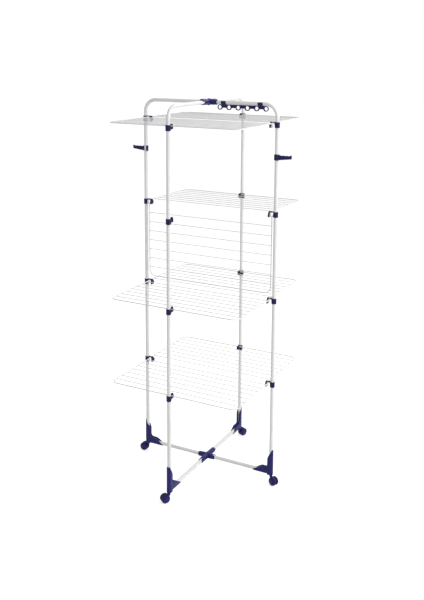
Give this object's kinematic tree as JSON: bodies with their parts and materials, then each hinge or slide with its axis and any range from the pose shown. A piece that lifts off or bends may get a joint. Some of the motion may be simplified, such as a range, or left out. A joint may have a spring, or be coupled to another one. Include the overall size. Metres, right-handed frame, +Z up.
{
  "type": "tower clothes airer",
  "caption": "Folding tower clothes airer: crossed white tube frames on swivel castors hold levels of drop-down wire racks, with a hanger bar and side hanger arms.",
  "frame": {"origin": "on the floor under the middle of the frame, where the crossed tubes meet", "axes": "+Z up, +X to the right leg, -Y to the front leg, which is the nearest in the picture"},
  "size_m": [0.87, 0.8571, 1.9073],
  "materials": {
    "leg_tube": "smooth white powder coat",
    "base_tube": "smooth white powder coat",
    "rack_wire": "smooth white powder coat",
    "foot": "satin navy violet",
    "cross_connector": "satin navy violet",
    "rivet": "satin navy violet",
    "hinge_bracket": "satin navy violet",
    "hook_bracket": "satin navy violet",
    "castor_hood": "satin navy violet",
    "castor_wheel": "satin navy violet",
    "hanger_bar": "satin navy violet",
    "hanger_arm": "satin navy violet"
  },
  "bodies": {
    "frame": {"leg_right": "leg_tube", "base_tube_right": "base_tube", "foot_right": "foot", "leg_back": "leg_tube", "base_tube_back": "base_tube", "foot_back": "foot", "leg_left": "leg_tube", "base_tube_left": "base_tube", "foot_left": "foot", "leg_front": "leg_tube", "base_tube_front": "base_tube", "foot_front": "foot", "top_connector_upper": "cross_connector", "top_connector_lower": "cross_connector", "top_connector_rivet": "rivet", "base_connector_upper": "cross_connector", "base_connector_lower": "cross_connector", "base_connector_rivet": "rivet", "hinge_bracket_1_right": "hinge_bracket", "hook_bracket_1_back": "hook_bracket", "hinge_bracket_1_left": "hinge_bracket", "hook_bracket_1_front": "hook_bracket", "hinge_bracket_2_right": "hinge_bracket", "hook_bracket_2_back": "hook_bracket", "hinge_bracket_2_left": "hinge_bracket", "hook_bracket_2_front": "hook_bracket", "hinge_bracket_3_right": "hinge_bracket", "hook_bracket_3_back": "hook_bracket", "hinge_bracket_3_left": "hinge_bracket", "hook_bracket_3_front": "hook_bracket", "hinge_bracket_4_right": "hinge_bracket", "hook_bracket_4_back": "hook_bracket", "hinge_bracket_4_left": "hinge_bracket", "hook_bracket_4_front": "hook_bracket"},
    "rack_1_front": {"rack_1_front": "rack_wire"},
    "rack_1_back": {"rack_1_back": "rack_wire"},
    "rack_2_front": {"rack_2_front": "rack_wire"},
    "rack_2_back": {"rack_2_back": "rack_wire"},
    "rack_3_front": {"rack_3_front": "rack_wire"},
    "rack_3_back": {"rack_3_back": "rack_wire"},
    "rack_4_front": {"rack_4_front": "rack_wire"},
    "rack_4_back": {"rack_4_back": "rack_wire"},
    "castor_hood_right": {"castor_hood_right": "castor_hood"},
    "castor_wheel_right": {"castor_wheel_right": "castor_wheel"},
    "castor_hood_back": {"castor_hood_back": "castor_hood"},
    "castor_wheel_back": {"castor_wheel_back": "castor_wheel"},
    "castor_hood_left": {"castor_hood_left": "castor_hood"},
    "castor_wheel_left": {"castor_wheel_left": "castor_wheel"},
    "castor_hood_front": {"castor_hood_front": "castor_hood"},
    "castor_wheel_front": {"castor_wheel_front": "castor_wheel"},
    "hanger_bar": {"hanger_bar": "hanger_bar"},
    "hanger_arm_left": {"hanger_arm_left": "hanger_arm"},
    "hanger_arm_right": {"hanger_arm_right": "hanger_arm"}
  },
  "joints": [
    {"name": "rack_1_front_fold", "type": "hinge", "parent": "frame", "child": "rack_1_front", "pos_m": [0, 0.012, 1.7865], "axis": [1, 0, 0], "range_deg": [0, 90]},
    {"name": "rack_1_back_fold", "type": "hinge", "parent": "frame", "child": "rack_1_back", "pos_m": [0, -0.012, 1.7865], "axis": [-1, 0, 0], "range_deg": [0, 90]},
    {"name": "rack_2_front_fold", "type": "hinge", "parent": "frame", "child": "rack_2_front", "pos_m": [0, 0.012, 1.3623], "axis": [-1, 0, 0], "range_deg": [0, 90]},
    {"name": "rack_2_back_fold", "type": "hinge", "parent": "frame", "child": "rack_2_back", "pos_m": [0, -0.012, 1.3623], "axis": [-1, 0, 0], "range_deg": [0, 90]},
    {"name": "rack_3_front_fold", "type": "hinge", "parent": "frame", "child": "rack_3_front", "pos_m": [0, 0.012, 0.9381], "axis": [1, 0, 0], "range_deg": [0, 90]},
    {"name": "rack_3_back_fold", "type": "hinge", "parent": "frame", "child": "rack_3_back", "pos_m": [0, -0.012, 0.9381], "axis": [-1, 0, 0], "range_deg": [0, 90]},
    {"name": "rack_4_front_fold", "type": "hinge", "parent": "frame", "child": "rack_4_front", "pos_m": [0, 0.012, 0.5139], "axis": [1, 0, 0], "range_deg": [0, 90]},
    {"name": "rack_4_back_fold", "type": "hinge", "parent": "frame", "child": "rack_4_back", "pos_m": [0, -0.012, 0.5139], "axis": [-1, 0, 0], "range_deg": [0, 90]},
    {"name": "castor_right_swivel", "type": "hinge", "parent": "frame", "child": "castor_hood_right", "pos_m": [0.36, 0, 0.05], "axis": [0, 0, 1], "continuous": true},
    {"name": "castor_right_roll", "type": "hinge", "parent": "castor_hood_right", "child": "castor_wheel_right", "pos_m": [0.37994, -0.0093, 0.02124], "axis": [0.4226, 0.9063, 0], "continuous": true},
    {"name": "castor_back_swivel", "type": "hinge", "parent": "frame", "child": "castor_hood_back", "pos_m": [0, 0.385, 0.05], "axis": [0, 0, 1], "continuous": true},
    {"name": "castor_back_roll", "type": "hinge", "parent": "castor_hood_back", "child": "castor_wheel_back", "pos_m": [0.0093, 0.40494, 0.02124], "axis": [-0.9063, 0.4226, 0], "continuous": true},
    {"name": "castor_left_swivel", "type": "hinge", "parent": "frame", "child": "castor_hood_left", "pos_m": [-0.36, 0, 0.05], "axis": [0, 0, 1], "continuous": true},
    {"name": "castor_left_roll", "type": "hinge", "parent": "castor_hood_left", "child": "castor_wheel_left", "pos_m": [-0.382, 0, 0.02124], "axis": [0, -1, 0], "continuous": true},
    {"name": "castor_front_swivel", "type": "hinge", "parent": "frame", "child": "castor_hood_front", "pos_m": [0, -0.385, 0.05], "axis": [0, 0, 1], "continuous": true},
    {"name": "castor_front_roll", "type": "hinge", "parent": "castor_hood_front", "child": "castor_wheel_front", "pos_m": [-0.01262, -0.40302, 0.02124], "axis": [0.8192, -0.5736, 0], "continuous": true},
    {"name": "hanger_bar_swing", "type": "hinge", "parent": "frame", "child": "hanger_bar", "pos_m": [0.19, 0, 1.89], "axis": [1, 0, 0], "range_deg": [-80, 80]},
    {"name": "hanger_arm_left_turn", "type": "hinge", "parent": "frame", "child": "hanger_arm_left", "pos_m": [-0.36, 0, 1.644], "axis": [0, 0, 1], "range_deg": [-90, 90]},
    {"name": "hanger_arm_right_turn", "type": "hinge", "parent": "frame", "child": "hanger_arm_right", "pos_m": [0.36, 0, 1.644], "axis": [0, 0, 1], "range_deg": [-90, 90]}
  ]
}
